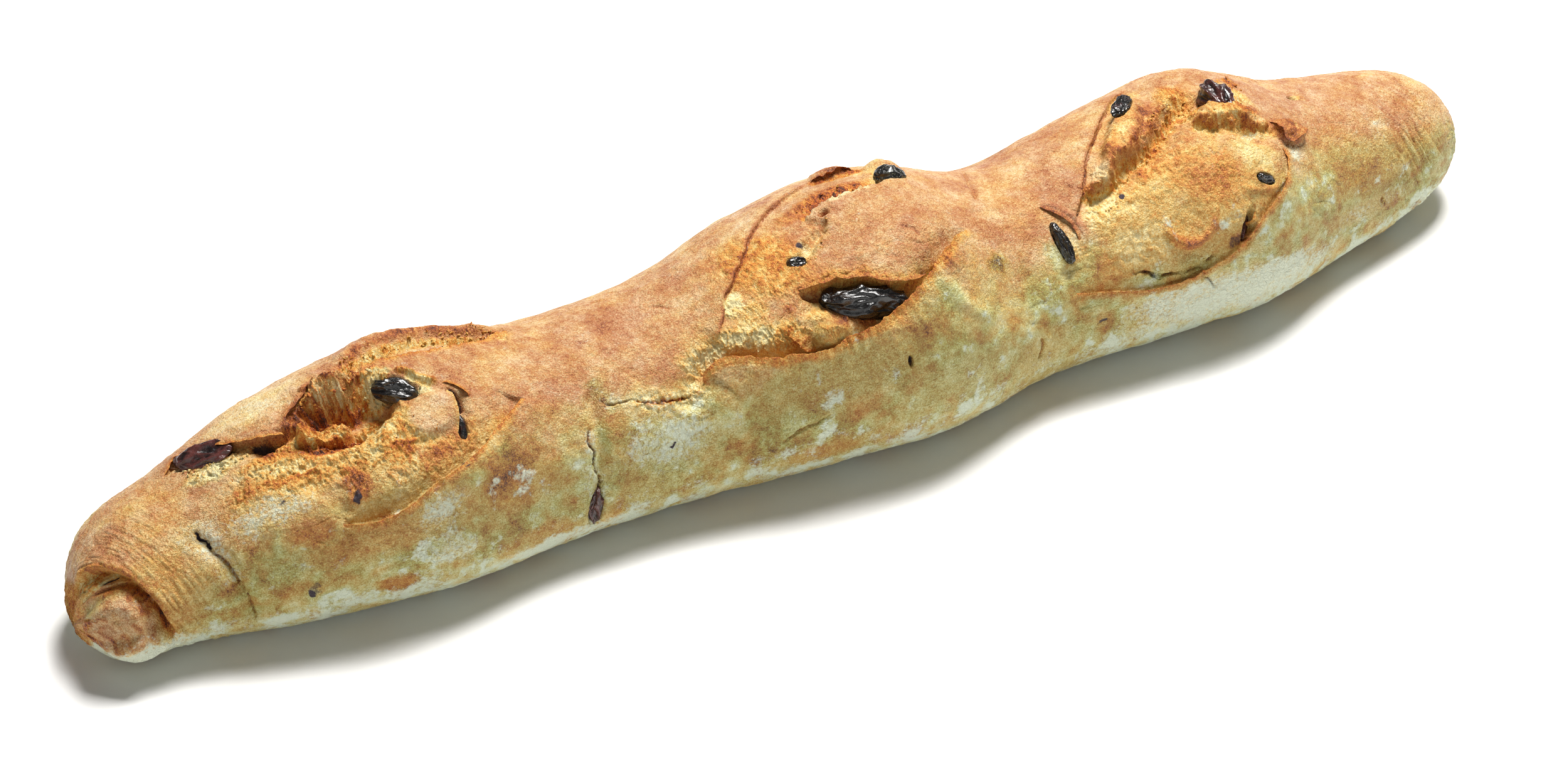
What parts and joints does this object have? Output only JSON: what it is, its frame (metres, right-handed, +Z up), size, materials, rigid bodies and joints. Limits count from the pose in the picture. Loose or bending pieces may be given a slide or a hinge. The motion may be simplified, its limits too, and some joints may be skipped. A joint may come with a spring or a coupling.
{
  "type": "olive ciabatta",
  "caption": "Long hand-shaped bread loaf with torn score openings along its top, a folded tail at one end and cut black olives set in the browned, floured crust",
  "frame": {"origin": "centre of the loaf's box in plan, on the surface that it rests on", "axes": "+X runs along the loaf, away from its folded tail; +Z is up, through the scored top; -Y is the side on which the score openings reach furthest down"},
  "size_m": [0.4223, 0.0804, 0.066],
  "materials": {
    "crust": "browned bread crust, dry and floured",
    "olive": "oily shrivelled black olive skin"
  },
  "bodies": {
    "root": {"loaf": "crust", "olive_01": "olive", "olive_02": "olive", "olive_03": "olive", "olive_04": "olive", "olive_05": "olive", "olive_06": "olive", "olive_07": "olive", "olive_08": "olive", "olive_09": "olive", "olive_10": "olive", "olive_11": "olive", "olive_12": "olive"}
  },
  "joints": []
}
